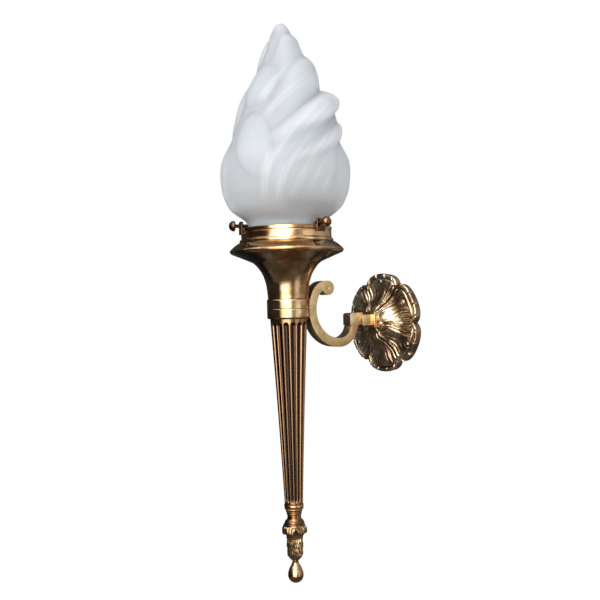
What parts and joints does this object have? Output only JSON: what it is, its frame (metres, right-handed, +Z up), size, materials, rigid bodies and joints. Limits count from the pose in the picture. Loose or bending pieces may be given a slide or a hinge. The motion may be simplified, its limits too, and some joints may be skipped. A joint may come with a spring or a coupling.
{
  "type": "wall sconce",
  "caption": "Torch wall sconce: frosted flame glass shade held by thumbscrews in a brass gallery, on a fluted tapering torch carried by a C-scroll arm from a cast petal rosette.",
  "frame": {"origin": "centre of the rosette on the wall plane", "axes": "+Z up, +Y into the wall, -Y out from the wall, +X to the right seen from the room"},
  "size_m": [0.131, 0.201, 0.5749],
  "materials": {
    "cast_brass": "cast, dark patina with rubbed highlights",
    "rubbed_brass": "brushed, lightly aged",
    "spun_brass": "turned, aged",
    "bright_brass": "bare",
    "zinc_steel": "zinc plated",
    "dark_steel": "blackened",
    "frosted_glass": "acid-frosted",
    "bulb_white": "opal",
    "white_plastic": "glazed",
    "nickel": "nickel plated",
    "black_glass": "black insulator"
  },
  "bodies": {
    "fixture": {"wall_plate": "zinc_steel", "earth_screw": "bright_brass", "terminal_block": "white_plastic", "rosette": "cast_brass", "rosette_screws": "dark_steel", "bar_flange": "rubbed_brass", "cross_bar": "rubbed_brass", "bar_nipple": "bright_brass", "bar_washer": "zinc_steel", "bar_nut": "bright_brass", "scroll_arm": "rubbed_brass", "arm_nipple": "bright_brass", "arm_nut": "bright_brass", "ferrule": "spun_brass", "fluted_shaft": "cast_brass", "shaft_cup": "spun_brass", "lower_neck": "spun_brass", "leaf_collar": "cast_brass", "leaf_bud": "cast_brass", "ball_finial": "spun_brass", "finial_stud": "zinc_steel", "core_tube": "bright_brass", "core_nut": "bright_brass", "bell": "spun_brass", "rim_cover": "spun_brass", "gallery_ring": "spun_brass", "holder_shell": "white_plastic", "holder_base": "white_plastic", "centre_contact": "bright_brass", "side_contact": "bright_brass"},
    "glass": {"glass_shade": "frosted_glass"},
    "bulb": {"bulb_glass": "bulb_white", "bulb_cap": "nickel", "bulb_tip": "black_glass"},
    "thumbscrew_1": {"thumbscrew_1": "spun_brass"},
    "thumbscrew_2": {"thumbscrew_2": "spun_brass"},
    "thumbscrew_3": {"thumbscrew_3": "spun_brass"}
  },
  "joints": [
    {"name": "glass_lift", "type": "slide", "parent": "fixture", "child": "glass", "axis": [0, 0, 1], "range_m": [0, 0.135]},
    {"name": "bulb_unscrew", "type": "slide", "parent": "fixture", "child": "bulb", "axis": [0, 0, 1], "range_m": [0, 0.022]},
    {"name": "thumbscrew_1_out", "type": "slide", "parent": "fixture", "child": "thumbscrew_1", "axis": [0.9848, 0.1736, 0], "range_m": [0, 0.005]},
    {"name": "thumbscrew_2_out", "type": "slide", "parent": "fixture", "child": "thumbscrew_2", "axis": [-0.6428, 0.766, 0], "range_m": [0, 0.005]},
    {"name": "thumbscrew_3_out", "type": "slide", "parent": "fixture", "child": "thumbscrew_3", "axis": [-0.342, -0.9397, 0], "range_m": [0, 0.005]}
  ]
}
